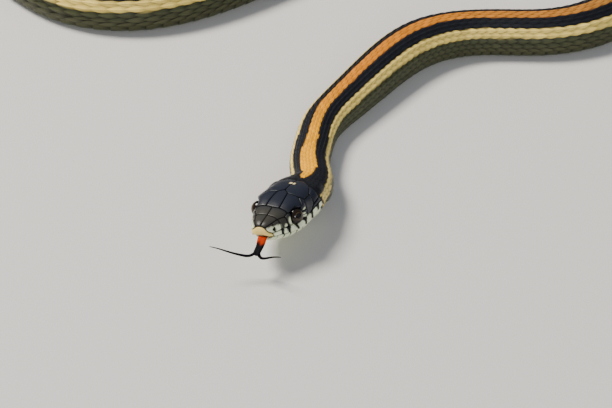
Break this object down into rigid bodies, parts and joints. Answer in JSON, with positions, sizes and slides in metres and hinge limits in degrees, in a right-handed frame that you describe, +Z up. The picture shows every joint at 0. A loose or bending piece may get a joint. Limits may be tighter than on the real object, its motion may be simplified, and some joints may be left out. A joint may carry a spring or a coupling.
{
  "type": "garter snake",
  "caption": "Life-size still garter snake resting on its belly in open bends, head a little raised, forked tongue out.",
  "frame": {"origin": "middle of the footprint's box, on the floor that the belly rests on", "axes": "+X along the longest spread of the bends, towards the loop at the animal's fore body; +Z up; the snout points towards -Y and a little towards -X"},
  "size_m": [0.2207, 0.1419, 0.0104],
  "materials": {
    "body_scales": "satin scales, black with an orange stripe on the back and a cream stripe low on each side",
    "head_scales": "satin shields, black crown and pale lips with black seams",
    "eyes": "wet gloss",
    "tongue": "moist satin, red at the root and black at the tines"
  },
  "bodies": {
    "root": {"head": "head_scales", "lower_jaw": "head_scales", "eye_left": "eyes", "eye_right": "eyes", "tongue": "tongue", "neck": "body_scales", "body_1": "body_scales", "body_2": "body_scales", "body_3": "body_scales", "body_4": "body_scales", "body_5": "body_scales", "body_6": "body_scales", "body_7": "body_scales", "body_8": "body_scales", "tail_1": "body_scales", "tail_2": "body_scales", "tail_3": "body_scales"}
  },
  "joints": []
}
